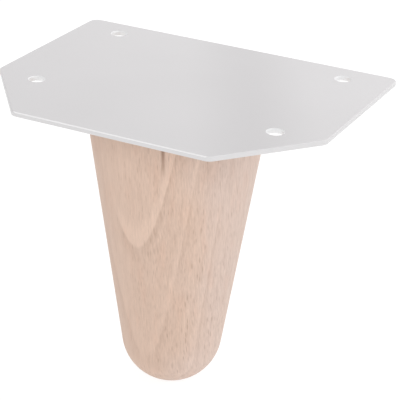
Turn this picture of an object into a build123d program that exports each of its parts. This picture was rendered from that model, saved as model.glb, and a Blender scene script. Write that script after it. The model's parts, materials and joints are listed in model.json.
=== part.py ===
from build123d import *
import math
import os

# Furniture leg: a beech cone with a round end, screwed under a white steel mounting plate.
# Sizes are in millimetres. Z points up and Z = 0 is the plate's top face, which lies against
# the furniture. X runs along the plate's long edges, and the front, with the cut corners, is -Y.

# Mounting plate: a flat sheet, its two front corners cut off at a slant
plate_length = 110.0
plate_depth = 85.0
plate_thickness = 1.6
corner_cut_x = 23.0
corner_cut_y = 28.0
corner_radius = 3.0
sheet_edge_radius = 0.35

# Screw holes: the corners of a rectangle, set in from the plate's edges, furthest at the front
hole_diameter = 5.0
hole_rim_chamfer = 0.3
side_inset = 15.0
front_row_inset = 26.0
back_row_inset = 9.0

# Wooden leg: a straight cone that runs smoothly into its round end, with a small flat to stand on
total_height = 100.0
leg_top_diameter = 57.5
leg_end_radius = 16.25
foot_flat_diameter = 10.0
leg_top_chamfer = 0.6

# Weld stud: welded under the plate by its flange, on the leg's axis
stud_diameter = 8.0
stud_length = 26.0
stud_flange_diameter = 12.0
stud_flange_thickness = 1.2
stud_tip_chamfer = 1.0

# Threaded insert: knocked into the top of the leg, its collar sunk below the face
insert_diameter = 12.5
insert_length = 18.0
insert_collar_diameter = 18.0
insert_collar_thickness = 1.6
insert_mouth_chamfer = 0.7
barb_height = 0.9
barb_pitch = 3.9
barb_land = 0.4
plain_shank = 2.4

# Clearances
thread_clearance = 0.05
barb_clearance = 0.05
collar_clearance = 0.25
flange_gap = 0.3
bore_end_gap = 3.0
drill_point_angle = 118.0

# Heights along the leg's axis
plate_underside = -plate_thickness
leg_length = total_height - plate_thickness
stud_flange_bottom = plate_underside - stud_flange_thickness
stud_tip = plate_underside - stud_length
collar_top = stud_flange_bottom - flange_gap
collar_seat = collar_top - insert_collar_thickness
insert_bottom = collar_seat - insert_length
bore_bottom = min(insert_bottom, stud_tip) - bore_end_gap

# Screw-hole rectangle
hole_spacing_x = plate_length - 2 * side_inset
hole_spacing_y = plate_depth - front_row_inset - back_row_inset
hole_rows_middle = (front_row_inset - back_row_inset) / 2

# Radii that fit into each other
insert_bore_radius = stud_diameter / 2 + thread_clearance
leg_bore_radius = insert_diameter / 2 + barb_clearance
counterbore_radius = insert_collar_diameter / 2 + collar_clearance


def closed_polyline(*points):
    """Straight-sided outline through the points and back to the first."""
    return Polyline(*points, close=True)


def revolved(outline):
    """Turn a closed outline, given in the XZ plane, round the leg's axis."""
    return revolve(Plane.XZ * make_face(outline), Axis.Z)


def flat_sides(plate):
    """The plate's underside and its top face."""
    sides = plate.faces().sort_by(Axis.Z)
    return sides[0], sides[-1]


def mounting_plate():
    """Flat sheet with rounded corners, soft edges and four plain screw holes."""
    half_x = plate_length / 2
    half_y = plate_depth / 2
    sheet = make_face(closed_polyline(
        (-half_x, half_y),
        (half_x, half_y),
        (half_x, -half_y + corner_cut_y),
        (half_x - corner_cut_x, -half_y),
        (-half_x + corner_cut_x, -half_y),
        (-half_x, -half_y + corner_cut_y),
    ))
    sheet = fillet(sheet.vertices(), corner_radius)
    hole_places = Pos(0, hole_rows_middle) * GridLocations(hole_spacing_x, hole_spacing_y, 2, 2)
    sheet -= [place * Circle(hole_diameter / 2) for place in hole_places]
    plate = extrude(sheet, -plate_thickness)
    hole_rims = [edge for side in flat_sides(plate) for rim in side.inner_wires() for edge in rim.edges()]
    plate = chamfer(hole_rims, hole_rim_chamfer)
    outer_rims = [edge for side in flat_sides(plate) for edge in side.outer_wire().edges()]
    return fillet(outer_rims, sheet_edge_radius)


def leg_outline():
    """Half section of the leg, from the bored top face down the cone and round the end."""
    top_radius = leg_top_diameter / 2
    flat_radius = foot_flat_diameter / 2
    foot = plate_underside - leg_length
    end_centre = foot + math.sqrt(leg_end_radius ** 2 - flat_radius ** 2)

    # The cone's side is the tangent from the top rim to the circle of the round end
    rise = plate_underside - end_centre
    reach = math.hypot(top_radius, rise)
    half_angle = math.atan2(top_radius, rise) - math.asin(leg_end_radius / reach)
    flat_angle = math.acos(flat_radius / leg_end_radius)

    def on_end(angle_down):
        radius = leg_end_radius * math.cos(angle_down)
        return (radius, end_centre - leg_end_radius * math.sin(angle_down))

    chamfer_radius = top_radius - leg_top_chamfer * math.tan(half_angle)
    drill_point = bore_bottom - leg_bore_radius / math.tan(math.radians(drill_point_angle / 2))
    tangent_point = on_end(half_angle)
    bored_top = Polyline(
        (0, foot),
        (0, drill_point),
        (leg_bore_radius, bore_bottom),
        (leg_bore_radius, collar_seat),
        (counterbore_radius, collar_seat),
        (counterbore_radius, plate_underside),
        (top_radius - leg_top_chamfer, plate_underside),
        (chamfer_radius, plate_underside - leg_top_chamfer),
        tangent_point,
    )
    round_end = ThreePointArc(tangent_point, on_end((half_angle + flat_angle) / 2), (flat_radius, foot))
    foot_flat = Line((flat_radius, foot), (0, foot))
    return bored_top + round_end + foot_flat


def wooden_leg():
    return revolved(leg_outline())


def weld_stud():
    """Plain-modelled threaded stud with its weld flange and a chamfered tip."""
    radius = stud_diameter / 2
    return revolved(closed_polyline(
        (0, plate_underside),
        (stud_flange_diameter / 2, plate_underside),
        (stud_flange_diameter / 2, stud_flange_bottom),
        (radius, stud_flange_bottom),
        (radius, stud_tip + stud_tip_chamfer),
        (radius - stud_tip_chamfer, stud_tip),
        (0, stud_tip),
    ))


def barb_points():
    """Saw-tooth of the insert's shank, from the bottom up: each barb slides in and grips."""
    crest = insert_diameter / 2
    root = crest - barb_height
    barb_count = int((insert_length - plain_shank) / barb_pitch)
    points = []
    for number in range(barb_count):
        bottom = insert_bottom + number * barb_pitch
        points.append((root, bottom))
        points.append((crest, bottom + barb_pitch - barb_land))
        points.append((crest, bottom + barb_pitch))
    points.append((root, insert_bottom + barb_count * barb_pitch))
    return points


def threaded_insert():
    """Insert nut with a flat collar, a barbed shank and a chamfered mouth."""
    collar_radius = insert_collar_diameter / 2
    return revolved(closed_polyline(
        (insert_bore_radius, insert_bottom),
        *barb_points(),
        (insert_diameter / 2 - barb_height, collar_seat),
        (collar_radius, collar_seat),
        (collar_radius, collar_top),
        (insert_bore_radius + insert_mouth_chamfer, collar_top),
        (insert_bore_radius, collar_top - insert_mouth_chamfer),
    ))


pieces = {
    "mounting_plate": mounting_plate(),
    "wooden_leg": wooden_leg(),
    "weld_stud": weld_stud(),
    "threaded_insert": threaded_insert(),
}

os.makedirs("parts", exist_ok=True)
for name, piece in pieces.items():
    export_step(piece, f"parts/{name}.step")
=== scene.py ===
import json
import math

import bmesh
import bpy
from mathutils import Matrix, Vector


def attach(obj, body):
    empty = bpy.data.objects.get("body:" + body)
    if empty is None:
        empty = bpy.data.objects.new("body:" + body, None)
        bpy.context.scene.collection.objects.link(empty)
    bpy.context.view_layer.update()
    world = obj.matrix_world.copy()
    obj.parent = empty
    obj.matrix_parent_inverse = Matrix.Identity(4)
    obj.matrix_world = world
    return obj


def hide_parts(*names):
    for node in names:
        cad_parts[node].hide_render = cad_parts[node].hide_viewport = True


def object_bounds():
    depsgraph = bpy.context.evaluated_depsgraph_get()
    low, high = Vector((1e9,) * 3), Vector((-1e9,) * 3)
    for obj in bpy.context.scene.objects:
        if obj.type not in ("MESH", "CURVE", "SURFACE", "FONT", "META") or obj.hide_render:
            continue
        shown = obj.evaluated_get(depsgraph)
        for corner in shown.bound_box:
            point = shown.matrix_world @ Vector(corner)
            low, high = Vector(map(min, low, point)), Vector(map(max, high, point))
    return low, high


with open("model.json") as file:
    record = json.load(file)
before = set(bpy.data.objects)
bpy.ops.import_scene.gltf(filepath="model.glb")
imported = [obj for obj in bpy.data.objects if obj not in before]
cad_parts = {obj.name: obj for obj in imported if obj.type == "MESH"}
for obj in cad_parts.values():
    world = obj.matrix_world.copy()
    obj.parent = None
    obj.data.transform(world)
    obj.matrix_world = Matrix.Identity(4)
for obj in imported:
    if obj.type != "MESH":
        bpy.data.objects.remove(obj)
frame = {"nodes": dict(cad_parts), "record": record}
cad_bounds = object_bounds()

# Wooden furniture leg: a beech cone with a round end under a white steel mounting plate.
# Lengths are in metres, and in millimetres inside the materials.
MM = 0.001

# Camera, as fitted to the photograph: its place, where it looks, and its focal length in picture widths
CAMERA_PLACE = (0.20289, -0.38967, 0.16787)
CAMERA_YAW = math.radians(-26.5)
CAMERA_PITCH = math.radians(25.046)
CAMERA_ROLL = math.radians(1.94)
FOCAL_LENGTH_IN_WIDTHS = 1549.5 / 400
CLIP_START = 0.01

# Lamps: azimuth and elevation in degrees, distance and side in metres, and power in watts
LAMPS = {
    "key": (105, 20, 1.0, 0.5, 2.0),
    "front": (12, 34, 1.2, 0.4, 3.1),
    "fill": (-60, 15, 1.2, 0.9, 0.85),
    "overhead": (165, 60, 0.7, 0.5, 1.5),
}

# White surroundings: the light that they give, and how bright they show
WORLD_LIGHT = 0.55
BACKGROUND_WHITE = 1.0

# Floor: half its side, its colour and the light that it adds below the object, and, where it is seen,
# its own glow and how strongly the object's shadow shows
FLOOR_HALF = 3.0
FLOOR_COLOUR = (0.8, 0.8, 0.8, 1.0)
FLOOR_BOUNCE = 0.30
FLOOR_GLOW = 0.86
FLOOR_SHADOW_SHARE = 0.25

# Powder coat: its darkest and lightest colour, its usual tone between them, and its gloss
COAT_DARK = (0.598, 0.583, 0.591, 1.0)
COAT_LIGHT = (0.718, 0.703, 0.711, 1.0)
COAT_TONE = 0.65
COAT_ROUGHNESS = 0.45
COAT_IOR = 1.5

# Orange peel of the coat: its size, its height, and what it does to the roughness
PEEL_MM = 0.9
PEEL_HEIGHT_MM = 0.006
PEEL_ROUGHNESS = 0.05

# Faint unevenness of the coat: a cloud, with its size and place; and a painted reflection, lighter
# towards the back
CLOUD_MM = 40.0
CLOUD_SHIFT_MM = (704.0, 68.0, 484.0)
CLOUD_TONE = 0.15
PAINTED_SHEEN_BACK_PER_MM = 0.003

# Painted reflection: a soft darker band that crosses the sheet at a slant: the direction across it, how
# far that way it lies from the leg's axis, and half its width
BAND_DIRECTION = (0.885, 0.466)
BAND_PLACE_MM = 22.0
BAND_HALF_MM = 22.0
PAINTED_REFLECTION_BAND_TONE = -0.5

# Painted light on the coat: its edges are painted lighter, the rounding above the front edge carries a
# painted highlight, and the walls of the screw holes, which lie inside their rectangle and this margin,
# are painted lighter
EDGE_PAINTED_LIGHT = (0.71, 0.70, 0.705, 1.0)
FRONT_ROUNDING_PAINTED_HIGHLIGHT = (0.92, 0.91, 0.915, 1.0)
HOLE_WALL_PAINTED_LIGHT = (0.82, 0.82, 0.825, 1.0)
HOLE_MARGIN_MM = 3.5

# Parts of the surface normal at which a place begins to count, and counts in full, as an edge,
# as the front and as an upper rounding
EDGE_NORMAL_Z = (0.99, 0.8)
FRONT_NORMAL_X = (0.25, 0.1)
ROUNDING_NORMAL_Z = (0.0, 0.2)

# Beech: its colours at the tones from 0 to 1, its usual tone and its gloss
BEECH_COLOURS = (
    (0.0, (0.40, 0.245, 0.160, 1.0)),
    (0.5, (0.675, 0.485, 0.360, 1.0)),
    (1.0, (0.915, 0.670, 0.500, 1.0)),
)
BEECH_TONE = 0.5
BEECH_ROUGHNESS = 0.55
BEECH_IOR = 1.45

# The pith round which the growth rings lie: a point on it, and its lean along X and Y for each unit up
PITH_POINT_MM = (1.7, 30.0, -50.0)
PITH_LEAN = (0.0205, -0.0884)

# Growth rings: their spacing, how far they wander, the tone at shares of a ring's width, the tone there
# that changes nothing, and where the late wood begins and is complete
RING_SPACING_MM = 2.6
RING_WANDER_MM = 0.06
RING_TONES = ((0.0, 0.50), (0.08, 0.75), (0.5, 0.50), (0.92, 0.30), (1.0, 0.50))
NEUTRAL_RING_TONE = 0.5
LATE_WOOD = (0.55, 1.0)

# The rings that stand out: each one's radius and the width of its band, how much lighter it is outside
# and how much darker inside, and the stretch across the leg on which it shows. The first draws the U.
U_RING_MM = 51.92
MARKED_RINGS = (
    (U_RING_MM, 0.6, 0.12, 0.08, -12.0, 40.0),
    (49.40, 0.6, 0.08, 0.03, -3.0, 40.0),
    (49.30, 1.2, 0.02, 0.06, -17.0, -1.0),
    (44.50, 1.3, 0.04, 0.07, -6.0, 21.0),
)

# How a marked ring comes in at its line, how long its ends fade, and the shares of its band at which
# its light and its dark side are gone and are full
RING_LINE_MM = (-0.04, 0.06)
RING_FADING_MM = 5.0
LIGHT_BAND_FADING = (1.0, 1 / 3)
DARK_BAND_FADING = (0.8, 1 / 6)

# Size of each kind of unevenness in the wood: out from the pith, round it, and along the fibres
WANDER_MM = (14.0, 14.0, 35.0)
PATCH_MM = (9.0, 9.0, 28.0)
STREAK_MM = (0.9, 5.0, 60.0)
BUNDLE_MM = (6.0, 1.6, 30.0)
FIBRE_MM = (3.0, 0.45, 4.5)
PORE_MM = (1.0, 0.22, 1.8)
HUE_MM = (12.0, 12.0, 30.0)
REDNESS_MM = (5.0, 3.5, 14.0)

# Ray flecks: their spacing, the share of it that they fill, how far the light ones are shifted,
# and how much stronger the dark ones are in late wood and in some patches
DARK_RAY_SPACING_MM = (6.0, 0.8, 4.4)
DARK_RAY_SHARE = 0.36
LIGHT_RAY_SPACING_MM = (5.0, 0.8, 3.8)
LIGHT_RAY_SHARE = 0.32
LIGHT_RAY_SHIFT_MM = (3.0, 0.4, 1.7)
RAY_GAIN_IN_LATE_WOOD = 0.3
RAY_GAIN_IN_PATCHES = 0.6

# What each of them adds to the wood's tone, to its height and to its roughness
RING_TONE = 0.08
RING_TONE_IN_PATCHES = 0.10
STREAK_TONE = 0.03
BUNDLE_TONE = 0.06
FIBRE_TONE = 0.18
PORE_TONE = 0.12
DARK_RAY_TONE = -0.16
LIGHT_RAY_TONE = 0.08
FIBRE_HEIGHT_MM = 0.010
PORE_HEIGHT_MM = 0.006
DARK_RAY_HEIGHT_MM = -0.010
FIBRE_ROUGHNESS = 0.06

# Changes over the leg, each with the places where it begins and is complete: the fine figure grows lively
# to the right and then calmer, the left side is darker with painted shade, and the round end is lighter
# with painted light. Heights here and in the tints are measured from the pith's point.
LIVELY_SIDE_MM = (-14.0, 8.0)
PLAIN_FIGURE = 0.45
LIVELY_GAIN = 0.75
CALM_SIDE_MM = (15.0, 25.0)
CALM_GAIN = -0.35
PAINTED_SHADE_SIDE_MM = (-8.0, -18.0)
PAINTED_SHADE_SIDE_TONE = -0.065
PAINTED_LIGHT_END_MM = (-25.0, -45.0)
PAINTED_LIGHT_END_TONE = 0.045

# Tints: beige turns to pink to the right, partly the wood's colour and partly a painted sheen, sooner or
# later with the hue and sooner lower down, and patches are redder, between the values of their noise
# where that begins and is complete
BEIGE_TINT = (1.0, 1.025, 1.105, 1.0)
PINK_AND_SHEEN_TINT = (1.0, 1.085, 1.255, 1.0)
PINK_SIDE_MM = (8.0, 22.0)
PINK_BY_HUE_MM = 8.0
LOWER_DOWN_MM = (-20.0, -50.0)
PINK_BY_HEIGHT_MM = 10.0
RED_TINT = (1.0, 0.97, 0.955, 1.0)
RED_PATCHES = (0.0, 0.5)

# Dark streaks along the grain that start under the plate: each one's place across the leg,
# half its width, the heights between which it comes in, and its share of the colour
DARK_STREAKS = (
    (6.5, 0.85, -20.0, -8.0, 1.0),
    (17.4, 0.8, -48.0, -34.0, 0.09),
)
DARK_STREAK_COLOUR = (0.33, 0.20, 0.14, 1.0)

# Zinc plating: its colours, its gloss, its stains and its turning marks
ZINC_DARK = (0.50, 0.51, 0.52, 1.0)
ZINC_LIGHT = (0.70, 0.71, 0.71, 1.0)
ZINC_ROUGHNESS = 0.32
STAIN_MM = 3.0
STAIN_ROUGHNESS = 0.08
TURNING_MARK_MM = (5.0, 5.0, 0.15)
TURNING_MARK_HEIGHT_MM = 0.004

# Metric thread of the stud and the insert: its pitch, the radius of the plain wall from which it goes in,
# its depth in pitches, the flat at that wall in pitches, its flanks' slope, and the length of its run-out
THREAD_PITCH = 1.25 * MM
STUD_RADIUS = 4.0 * MM
STUD_THREAD_DEPTH = 0.613
INSERT_BORE_RADIUS = 4.05 * MM
INSERT_THREAD_DEPTH = 0.541
THREAD_CREST = 1 / 8
THREAD_FLANK_SLOPE = math.sqrt(3)
THREAD_RUN_OUT = 1.2 * THREAD_PITCH

# How finely the thread is drawn, the angle from which an edge looks sharp, how far a vertex of the plain
# wall may be from its radius, and the distance below which two vertices are one
THREAD_STEPS_ROUND = 60
THREAD_STEPS_PER_PITCH = 12
THREAD_SHARP_ANGLE = math.radians(25)
WALL_TOLERANCE = 0.01 * MM
SAME_VERTEX = 0.001 * MM


class Graph:
    """Node tree of a material or of the world, with one short call for each kind of node."""

    def __init__(self, owner):
        owner.use_nodes = True
        self.owner = owner
        self.tree = owner.node_tree
        self.tree.nodes.clear()

    def feed(self, socket, value):
        if isinstance(value, bpy.types.NodeSocket):
            self.tree.links.new(value, socket)
        else:
            socket.default_value = value

    def add(self, kind, inputs=None, **settings):
        node = self.tree.nodes.new(kind)
        for key, value in settings.items():
            setattr(node, key, value)
        for key, value in (inputs or {}).items():
            self.feed(node.inputs[key], value)
        return node

    def math(self, operation, *values):
        node = self.add("ShaderNodeMath", dict(enumerate(values)), operation=operation)
        return node.outputs["Value"]

    def vector(self, operation, *values):
        node = self.add("ShaderNodeVectorMath", dict(enumerate(values)), operation=operation)
        return node.outputs["Vector"]

    def total(self, *values):
        result = values[0]
        for value in values[1:]:
            result = self.math("ADD", result, value)
        return result

    def times(self, *values):
        result = values[0]
        for value in values[1:]:
            result = self.math("MULTIPLY", result, value)
        return result

    def line(self, value, start, slope):
        """From the start, where the value is 0, upwards by the slope."""
        return self.math("MULTIPLY_ADD", value, slope, start)

    def step(self, value, low, high):
        """0 below low and 1 above high, or the other way round, with a smooth change between."""
        node = self.add("ShaderNodeMapRange", {"Value": value, "From Min": low, "From Max": high},
                        interpolation_type="SMOOTHSTEP")
        return node.outputs["Result"]

    def parts(self, vector):
        """X, Y and Z of a vector."""
        node = self.add("ShaderNodeSeparateXYZ", {"Vector": vector})
        return node.outputs["X"], node.outputs["Y"], node.outputs["Z"]

    def place_mm(self):
        """Where a point is in the part's frame, in millimetres."""
        place = self.add("ShaderNodeTexCoord").outputs["Object"]
        return self.vector("MULTIPLY", place, (1 / MM,) * 3)

    def in_units(self, coordinates, sizes):
        """Coordinates counted in units of the given size along each axis."""
        return self.vector("MULTIPLY", coordinates, [1 / size for size in sizes])

    def noise(self, coordinates, sizes, detail=2.0, roughness=0.5):
        """Noise of the given size along each axis, centred on 0, from about -1 to 1."""
        node = self.add("ShaderNodeTexNoise", {
            "Vector": self.in_units(coordinates, sizes),
            "Scale": 1.0,
            "Detail": detail,
            "Roughness": roughness,
        })
        return self.line(node.outputs["Fac"], -1.0, 2.0)

    def marks(self, coordinates, spacing, share, core=0.4):
        """Marks of varied strength that fill a share of their spacing and fade out from their core."""
        place = self.in_units(coordinates, spacing)
        cells = self.add("ShaderNodeTexVoronoi", {"Vector": place, "Scale": 1.0})
        chance = self.add("ShaderNodeSeparateColor", {"Color": cells.outputs["Color"]}).outputs["Red"]
        return self.times(self.step(cells.outputs["Distance"], share, share * core), chance)

    def ramp(self, value, stops):
        """Colour at a value, between stops that are each a value and a colour."""
        node = self.add("ShaderNodeValToRGB", {"Fac": value})
        elements = node.color_ramp.elements
        elements[0].position, elements[0].color = stops[0]
        elements[1].position, elements[1].color = stops[-1]
        for position, colour in stops[1:-1]:
            elements.new(position).color = colour
        return node.outputs["Color"]

    def mix(self, share, first, second, blend="MIX"):
        """Colour from the first, at a share of 0, to the second, at 1."""
        node = self.add("ShaderNodeMix", data_type="RGBA", blend_type=blend)
        for name, value in (("Factor_Float", share), ("A_Color", first), ("B_Color", second)):
            self.feed(next(s for s in node.inputs if s.identifier == name), value)
        return next(s for s in node.outputs if s.identifier == "Result_Color")

    def tinted(self, colour, tint):
        return self.mix(1.0, colour, tint, blend="MULTIPLY")

    def bump(self, height_mm):
        """Surface normal that follows a height in millimetres."""
        node = self.add("ShaderNodeBump", {"Height": height_mm, "Distance": MM, "Strength": 1.0})
        return node.outputs["Normal"]

    def shader(self, kind, inputs=None):
        return self.add(kind, inputs).outputs[0]

    def mix_shaders(self, share, first, second):
        return self.shader("ShaderNodeMixShader", {"Fac": share, 1: first, 2: second})

    def seen_directly(self):
        """1 for rays that show the surroundings: to the camera, by a reflection or through glass."""
        path = self.add("ShaderNodeLightPath").outputs
        seen_or_reflected = self.math("MAXIMUM", path["Is Camera Ray"], path["Is Glossy Ray"])
        return self.math("MAXIMUM", seen_or_reflected, path["Is Transmission Ray"])

    def finish(self, kind, shader):
        """Make the shader the result, and return the material or the world."""
        self.add(kind, {"Surface": shader}, is_active_output=True)
        return self.owner


def new_material(name):
    return Graph(bpy.data.materials.new(name))


def new_object(name, data):
    item = bpy.data.objects.new(name, data)
    bpy.context.scene.collection.objects.link(item)
    return item


def grey(value):
    return (value, value, value, 1.0)


def inside_hole_box(graph, x, y):
    """1 within the rectangle of the screw holes, and 0 out at the sheet's edges."""
    holes = next(m for m in frame["record"]["mounts"] if m["name"] == "screw_holes")
    half_x = holes["dims"]["spacing_x_mm"] / 2 + HOLE_MARGIN_MM
    half_y = holes["dims"]["spacing_y_mm"] / 2 + HOLE_MARGIN_MM
    middle_y = holes["pos_m"][1] / MM
    off_x = graph.math("ABSOLUTE", x)
    off_y = graph.math("ABSOLUTE", graph.math("SUBTRACT", y, middle_y))
    return graph.times(graph.math("LESS_THAN", off_x, half_x), graph.math("LESS_THAN", off_y, half_y))


def tone_and_painted_reflection(graph, place_mm, x, y):
    """Tone of the coat, from 0 for its darkest colour to 1 for its lightest: a faint cloud, and a painted
    reflection that is lighter towards the back and darker in a slanting band.
    """
    cloud = graph.noise(graph.vector("ADD", place_mm, CLOUD_SHIFT_MM), (CLOUD_MM,) * 3)
    across_band = graph.total(
        graph.times(x, BAND_DIRECTION[0]),
        graph.times(y, BAND_DIRECTION[1]),
        -BAND_PLACE_MM,
    )
    in_painted_reflection = graph.step(graph.math("ABSOLUTE", across_band), BAND_HALF_MM, 0.0)
    return graph.total(
        COAT_TONE,
        graph.times(cloud, CLOUD_TONE),
        graph.times(y, PAINTED_SHEEN_BACK_PER_MM),
        graph.times(in_painted_reflection, PAINTED_REFLECTION_BAND_TONE),
    )


def powder_coat():
    """White matt powder coat: a fine orange peel, a faint unevenness of tone with a painted reflection,
    edges and hole walls painted lighter, and a painted highlight on the front rounding.
    """
    graph = new_material("white_powder_coat")
    place_mm = graph.place_mm()
    x, y, _ = graph.parts(place_mm)
    colour = graph.ramp(tone_and_painted_reflection(graph, place_mm, x, y), ((0.0, COAT_DARK), (1.0, COAT_LIGHT)))
    peel = graph.noise(place_mm, (PEEL_MM,) * 3, detail=1.5)

    # Where light is painted: lighter edges and hole walls, and a highlight on the rounding above the
    # front edge
    normal_x, normal_y, normal_z = graph.parts(graph.add("ShaderNodeTexCoord").outputs["Normal"])
    on_edge = graph.step(graph.math("ABSOLUTE", normal_z), *EDGE_NORMAL_Z)
    straight_on = graph.step(graph.math("ABSOLUTE", normal_x), *FRONT_NORMAL_X)
    in_front = graph.times(straight_on, graph.math("LESS_THAN", normal_y, 0.0))
    # Painted highlight on the upper rounding of the front edge
    on_rounding = graph.times(graph.step(normal_z, *ROUNDING_NORMAL_Z), in_front)
    # Painted light on the edges, and the painted highlight on the front rounding
    painted_edge_light_colour = graph.mix(on_rounding, EDGE_PAINTED_LIGHT, FRONT_ROUNDING_PAINTED_HIGHLIGHT)
    # Painted light on the walls of the screw holes
    painted_light_colour = graph.mix(inside_hole_box(graph, x, y), painted_edge_light_colour, HOLE_WALL_PAINTED_LIGHT)

    return graph.finish("ShaderNodeOutputMaterial", graph.shader("ShaderNodeBsdfPrincipled", {
        "Base Color": graph.mix(on_edge, colour, painted_light_colour),
        "Roughness": graph.line(peel, COAT_ROUGHNESS, PEEL_ROUGHNESS),
        "IOR": COAT_IOR,
        "Normal": graph.bump(graph.times(peel, PEEL_HEIGHT_MM)),
    }))


def marked_rings(graph, radius, across):
    """What the rings that stand out add to the tone."""
    tone = 0.0
    for ring_radius, band, light, dark, left_end, right_end in MARKED_RINGS:
        outside = graph.math("SUBTRACT", radius, ring_radius)
        inside = graph.math("SUBTRACT", ring_radius, radius)
        light_fading = [share * band for share in LIGHT_BAND_FADING]
        dark_fading = [share * band for share in DARK_BAND_FADING]
        lighter = graph.times(graph.step(outside, *RING_LINE_MM), graph.step(outside, *light_fading))
        darker = graph.times(graph.step(inside, *RING_LINE_MM), graph.step(inside, *dark_fading))
        contrast = graph.total(graph.times(lighter, light), graph.times(darker, -dark))
        from_left = graph.step(across, left_end, left_end + RING_FADING_MM)
        from_right = graph.step(across, right_end, right_end - RING_FADING_MM)
        tone = graph.total(tone, graph.times(contrast, from_left, from_right))
    return tone


def beech_colour(graph, tone, wood, across, along):
    """Colour of a tone: beige on the left, pink on the right and lower down, the pink partly a painted
    sheen, and redder in patches.
    """
    colour = graph.ramp(tone, BEECH_COLOURS)
    hue = graph.noise(wood, HUE_MM, detail=1.0)
    shift = graph.times(graph.step(along, *LOWER_DOWN_MM), PINK_BY_HEIGHT_MM)
    pink_and_sheen = graph.step(graph.total(graph.times(hue, PINK_BY_HUE_MM), across, shift), *PINK_SIDE_MM)
    colour = graph.tinted(colour, graph.mix(pink_and_sheen, BEIGE_TINT, PINK_AND_SHEEN_TINT))
    redness = graph.step(graph.noise(wood, REDNESS_MM), *RED_PATCHES)
    return graph.mix(redness, colour, graph.tinted(colour, RED_TINT))


def with_dark_streaks(graph, colour, across, along, in_front):
    """The colour with the dark streaks on it, on the front of the leg alone."""
    for place, half_width, low, high, share in DARK_STREAKS:
        aside = graph.math("ABSOLUTE", graph.math("SUBTRACT", across, place))
        across_streak = graph.step(aside, half_width, 0.0)
        along_streak = graph.step(along, low - PITH_POINT_MM[2], high - PITH_POINT_MM[2])
        streak = graph.times(across_streak, along_streak, in_front, share)
        colour = graph.mix(streak, colour, DARK_STREAK_COLOUR)
    return colour


def beech():
    """Bare beech cut along the grain: rings, ray flecks, fibres and pores of one solid piece of wood,
    with painted shade on the left, painted light on the round end and a painted sheen in the pink on the
    right.
    """
    graph = new_material("beech")
    from_pith_point = graph.vector("SUBTRACT", graph.place_mm(), PITH_POINT_MM)
    point_x, point_y, along = graph.parts(from_pith_point)
    across = graph.line(along, point_x, -PITH_LEAN[0])
    back = graph.line(along, point_y, -PITH_LEAN[1])

    # Coordinates in the log, in millimetres: out from the pith, round it, and along the fibres
    squares = graph.total(graph.math("POWER", across, 2.0), graph.math("POWER", back, 2.0))
    out = graph.math("SQRT", squares)
    turn = graph.math("ARCTAN2", across, graph.times(back, -1.0))
    round_pith = graph.times(turn, U_RING_MM)
    wood = graph.add("ShaderNodeCombineXYZ", {"X": out, "Y": round_pith, "Z": along}).outputs["Vector"]

    # Growth rings, and patches of stronger figure
    wander = graph.noise(wood, WANDER_MM, detail=1.0)
    radius = graph.total(out, graph.times(wander, RING_WANDER_MM))
    phase = graph.math("FRACT", graph.math("DIVIDE", radius, RING_SPACING_MM))
    ring_shade = graph.ramp(phase, [(share, grey(tone)) for share, tone in RING_TONES])
    ring_tone = graph.math("SUBTRACT", ring_shade, NEUTRAL_RING_TONE)
    late_wood = graph.step(phase, *LATE_WOOD)
    patches = graph.noise(wood, PATCH_MM)

    # Streaks that follow the rings, and fibres and pores along the grain
    streaks = graph.noise(wood, STREAK_MM)
    bundles = graph.noise(wood, BUNDLE_MM, detail=1.0)
    fibres = graph.noise(wood, FIBRE_MM, detail=1.5, roughness=0.6)
    pores = graph.noise(wood, PORE_MM, detail=1.0)

    # Rays: plates that stand out from the pith, cut here as short dashes, most of them dark
    dark_rays = graph.marks(wood, DARK_RAY_SPACING_MM, DARK_RAY_SHARE)
    shifted_wood = graph.vector("ADD", wood, LIGHT_RAY_SHIFT_MM)
    light_rays = graph.marks(shifted_wood, LIGHT_RAY_SPACING_MM, LIGHT_RAY_SHARE)
    ray_strength = graph.total(
        1.0,
        graph.times(late_wood, RAY_GAIN_IN_LATE_WOOD),
        graph.times(patches, RAY_GAIN_IN_PATCHES),
    )

    # The fine figure is stronger where the surface cuts the rings more squarely
    lively = graph.line(graph.step(across, *LIVELY_SIDE_MM), PLAIN_FIGURE, LIVELY_GAIN)
    calm = graph.line(graph.step(across, *CALM_SIDE_MM), 1.0, CALM_GAIN)
    figure = graph.total(
        graph.times(fibres, FIBRE_TONE),
        graph.times(pores, PORE_TONE),
        graph.times(dark_rays, ray_strength, DARK_RAY_TONE),
        graph.times(light_rays, LIGHT_RAY_TONE),
    )
    tone = graph.total(
        BEECH_TONE,
        graph.times(ring_tone, graph.line(patches, RING_TONE, RING_TONE_IN_PATCHES)),
        marked_rings(graph, radius, across),
        graph.times(streaks, STREAK_TONE),
        graph.times(bundles, BUNDLE_TONE),
        # Painted shade: the left side darker
        graph.times(graph.step(across, *PAINTED_SHADE_SIDE_MM), PAINTED_SHADE_SIDE_TONE),
        # Painted light: the round end lighter
        graph.times(graph.step(along, *PAINTED_LIGHT_END_MM), PAINTED_LIGHT_END_TONE),
        graph.times(figure, lively, calm),
    )
    colour = beech_colour(graph, tone, wood, across, along)
    in_front = graph.math("LESS_THAN", point_y, -PITH_POINT_MM[1])
    height = graph.total(
        graph.times(fibres, FIBRE_HEIGHT_MM),
        graph.times(pores, PORE_HEIGHT_MM),
        graph.times(dark_rays, DARK_RAY_HEIGHT_MM),
    )
    return graph.finish("ShaderNodeOutputMaterial", graph.shader("ShaderNodeBsdfPrincipled", {
        "Base Color": with_dark_streaks(graph, colour, across, along, in_front),
        "Roughness": graph.line(fibres, BEECH_ROUGHNESS, FIBRE_ROUGHNESS),
        "IOR": BEECH_IOR,
        "Normal": graph.bump(height),
    }))


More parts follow.
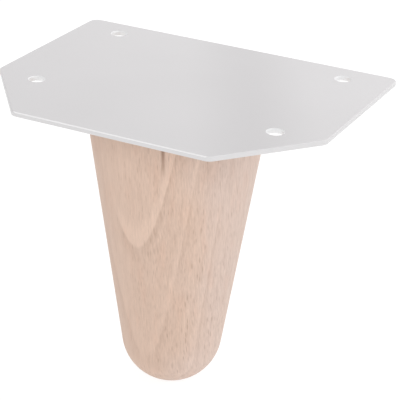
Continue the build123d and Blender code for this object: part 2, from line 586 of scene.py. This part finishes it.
def zinc_plate():
    """Bright zinc plating with stains and fine turning marks."""
    graph = new_material("zinc_plated_steel")
    place_mm = graph.place_mm()
    turning_marks = graph.noise(place_mm, TURNING_MARK_MM)
    stain = graph.noise(place_mm, (STAIN_MM,) * 3, detail=3.0)
    return graph.finish("ShaderNodeOutputMaterial", graph.shader("ShaderNodeBsdfPrincipled", {
        "Base Color": graph.ramp(graph.line(stain, 0.5, 0.5), ((0.0, ZINC_DARK), (1.0, ZINC_LIGHT))),
        "Metallic": 1.0,
        "Roughness": graph.line(stain, ZINC_ROUGHNESS, STAIN_ROUGHNESS),
        "Normal": graph.bump(graph.times(turning_marks, TURNING_MARK_HEIGHT_MM)),
    }))


def dress(node, material):
    """Give a CAD piece its finish."""
    for slot in frame["nodes"][node].material_slots:
        slot.material = material


def thread_depth(turn, height, low, high, full_depth):
    """How far the thread goes in, at an angle in turns and at a height. It runs out at both ends."""
    phase = (height / THREAD_PITCH - turn) % 1.0
    from_crest = min(phase, 1.0 - phase)
    depth = min(max(from_crest - THREAD_CREST / 2, 0.0) * THREAD_FLANK_SLOPE, full_depth) * THREAD_PITCH
    return depth * min(1.0, (height - low) / THREAD_RUN_OUT, (high - height) / THREAD_RUN_OUT)


def ring(mesh, radius_at, height):
    """Closed ring of vertices round the Z axis, and its edges."""
    vertices = []
    for step in range(THREAD_STEPS_ROUND):
        turn = step / THREAD_STEPS_ROUND
        angle = 2 * math.pi * turn
        radius = radius_at(turn, height)
        vertices.append(mesh.verts.new((radius * math.cos(angle), radius * math.sin(angle), height)))
    return vertices, [mesh.edges.new(pair) for pair in zip(vertices, vertices[1:] + vertices[:1])]


def threaded(node, name, wall_radius, full_depth):
    """Copy of a turned piece whose plain round wall of the given radius gets its thread."""
    mesh = bmesh.new()
    mesh.from_mesh(frame["nodes"][node].data)
    bmesh.ops.remove_doubles(mesh, verts=mesh.verts, dist=SAME_VERTEX)
    wall = [
        face for face in mesh.faces
        if all(abs(math.hypot(v.co.x, v.co.y) - wall_radius) < WALL_TOLERANCE for v in face.verts)
    ]
    bmesh.ops.delete(mesh, geom=wall, context="FACES")
    open_edges = [edge for edge in mesh.edges if edge.is_boundary]
    heights = [edge.verts[0].co.z for edge in open_edges]
    low, high = min(heights), max(heights)
    middle = (low + high) / 2
    lower_rim = [edge for edge in open_edges if edge.verts[0].co.z < middle]
    upper_rim = [edge for edge in open_edges if edge.verts[0].co.z > middle]

    def radius_at(turn, height):
        return wall_radius - thread_depth(turn, height, low, high, full_depth)

    rows = round((high - low) / THREAD_PITCH * THREAD_STEPS_PER_PITCH)
    rings = [ring(mesh, radius_at, low + (high - low) * row / rows) for row in range(1, rows)]
    for (lower, _), (upper, _) in zip(rings, rings[1:]):
        for here in range(THREAD_STEPS_ROUND):
            after = (here + 1) % THREAD_STEPS_ROUND
            mesh.faces.new((lower[here], lower[after], upper[after], upper[here]))
    bmesh.ops.bridge_loops(mesh, edges=lower_rim + rings[0][1])
    bmesh.ops.bridge_loops(mesh, edges=upper_rim + rings[-1][1])
    bmesh.ops.recalc_face_normals(mesh, faces=mesh.faces)
    data = bpy.data.meshes.new(name)
    mesh.to_mesh(data)
    mesh.free()
    data.shade_smooth()
    data.set_sharp_from_angle(angle=THREAD_SHARP_ANGLE)
    piece = new_object(name, data)
    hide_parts(node)
    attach(piece, "root")
    return piece


def white_world():
    """White surroundings, as bright as they should look where they show, and gentler as a light."""
    graph = Graph(bpy.data.worlds.new("studio"))
    light = graph.shader("ShaderNodeBackground", {"Color": grey(1.0), "Strength": WORLD_LIGHT})
    shown = graph.shader("ShaderNodeBackground", {"Color": grey(1.0), "Strength": BACKGROUND_WHITE})
    surroundings = graph.mix_shaders(graph.seen_directly(), light, shown)
    bpy.context.scene.world = graph.finish("ShaderNodeOutputWorld", surroundings)


def floor_finish():
    """Pale floor that shows as white as the background, apart from the object's soft shadow.

    It is clear from below, so that the object's underside can be seen.
    """
    graph = new_material("floor")
    diffuse = graph.shader("ShaderNodeBsdfDiffuse", {"Color": FLOOR_COLOUR})
    bounce = graph.shader("ShaderNodeEmission", {"Color": grey(1.0), "Strength": FLOOR_BOUNCE})
    shaded = graph.shader("ShaderNodeBsdfDiffuse", {"Color": grey(FLOOR_SHADOW_SHARE)})
    glow = graph.shader("ShaderNodeEmission", {"Color": grey(1.0), "Strength": FLOOR_GLOW})
    light = graph.shader("ShaderNodeAddShader", {0: diffuse, 1: bounce})
    shown = graph.shader("ShaderNodeAddShader", {0: shaded, 1: glow})
    above = graph.mix_shaders(graph.seen_directly(), light, shown)
    is_below = graph.add("ShaderNodeNewGeometry").outputs["Backfacing"]
    clear = graph.shader("ShaderNodeBsdfTransparent")
    return graph.finish("ShaderNodeOutputMaterial", graph.mix_shaders(is_below, above, clear))


def floor(height):
    mesh = bpy.data.meshes.new("floor")
    corners = [(x * FLOOR_HALF, y * FLOOR_HALF, height) for x, y in ((-1, -1), (1, -1), (1, 1), (-1, 1))]
    mesh.from_pydata(corners, [], [(0, 1, 2, 3)])
    mesh.materials.append(floor_finish())
    plane = new_object("floor", mesh)


def lamp(name, azimuth, elevation, distance, size, power, target):
    """Square soft light, placed round the target: azimuth 0 is in front, 90 on the right."""
    turn, rise = math.radians(azimuth), math.radians(elevation)
    back = Vector((math.sin(turn) * math.cos(rise), -math.cos(turn) * math.cos(rise), math.sin(rise)))
    light = bpy.data.lights.new(name, "AREA")
    light.shape = "SQUARE"
    light.size = size
    light.energy = power
    item = new_object(name, light)
    item.location = target + back * distance
    item.rotation_euler = back.to_track_quat("Z", "Y").to_euler()


def camera():
    level = Vector((math.cos(CAMERA_YAW), -math.sin(CAMERA_YAW), 0))
    ahead = Vector((
        math.sin(CAMERA_YAW) * math.cos(CAMERA_PITCH),
        math.cos(CAMERA_YAW) * math.cos(CAMERA_PITCH),
        -math.sin(CAMERA_PITCH),
    ))
    upright = level.cross(ahead)
    right = level * math.cos(CAMERA_ROLL) + upright * math.sin(CAMERA_ROLL)
    up = upright * math.cos(CAMERA_ROLL) - level * math.sin(CAMERA_ROLL)
    data = bpy.data.cameras.new("camera")
    data.sensor_fit = "HORIZONTAL"
    data.angle = 2 * math.atan(0.5 / FOCAL_LENGTH_IN_WIDTHS)
    data.clip_start = CLIP_START
    item = new_object("camera", data)
    turn = Matrix((right, up, -ahead)).transposed().to_4x4()
    item.matrix_world = Matrix.Translation(CAMERA_PLACE) @ turn
    bpy.context.scene.camera = item


dress("mounting_plate", powder_coat())
dress("wooden_leg", beech())
zinc = zinc_plate()
stud = threaded("weld_stud", "weld_stud_with_thread", STUD_RADIUS, STUD_THREAD_DEPTH)
insert = threaded("threaded_insert", "insert_with_thread", INSERT_BORE_RADIUS, INSERT_THREAD_DEPTH)
for piece in (stud, insert):
    piece.data.materials.append(zinc)

low, high = cad_bounds
middle = (low + high) / 2
floor(low.z)
white_world()
for name, settings in LAMPS.items():
    lamp(name, *settings, target=middle)
camera()
bpy.context.scene.view_settings.view_transform = "Standard"
